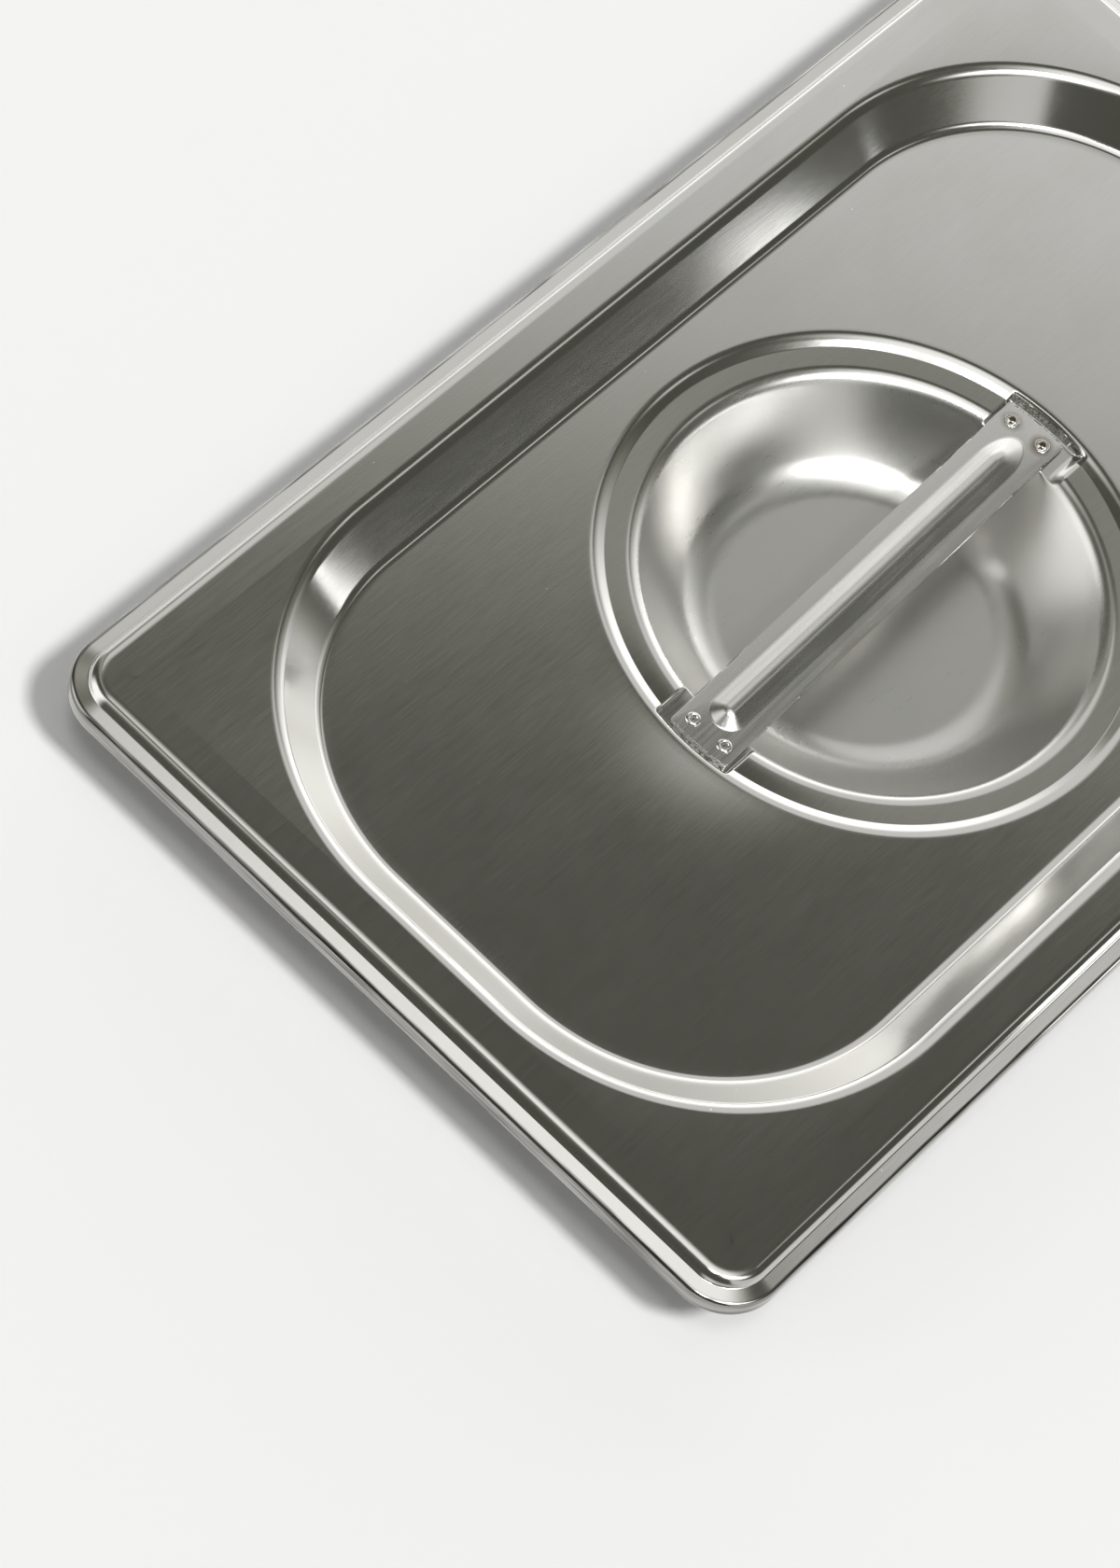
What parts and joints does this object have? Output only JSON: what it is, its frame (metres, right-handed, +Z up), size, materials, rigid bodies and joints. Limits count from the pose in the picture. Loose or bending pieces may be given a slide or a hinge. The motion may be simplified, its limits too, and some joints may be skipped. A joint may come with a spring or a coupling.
{
  "type": "steam table pan lid",
  "caption": "Pressed stainless lid for a quarter-size steam-table pan, with a turned-down rim, a recessed panel, a round finger bowl and a ribbed strap handle welded across it.",
  "frame": {"origin": "under the middle of the bowl's flat floor, on which the lid stands", "axes": "+X along the lid and its handle, +Y across it, +Z up, out of the side with the handle"},
  "size_m": [0.263, 0.162, 0.0234],
  "materials": {
    "lid_sheet": "satin, fine grain along the lid",
    "handle_steel": "bright satin",
    "weld_metal": "dull, as welded"
  },
  "bodies": {
    "root": {"lid_shell": "lid_sheet", "handle_strap": "handle_steel", "weld_near_left": "weld_metal", "weld_near_right": "weld_metal", "weld_far_left": "weld_metal", "weld_far_right": "weld_metal"}
  },
  "joints": []
}
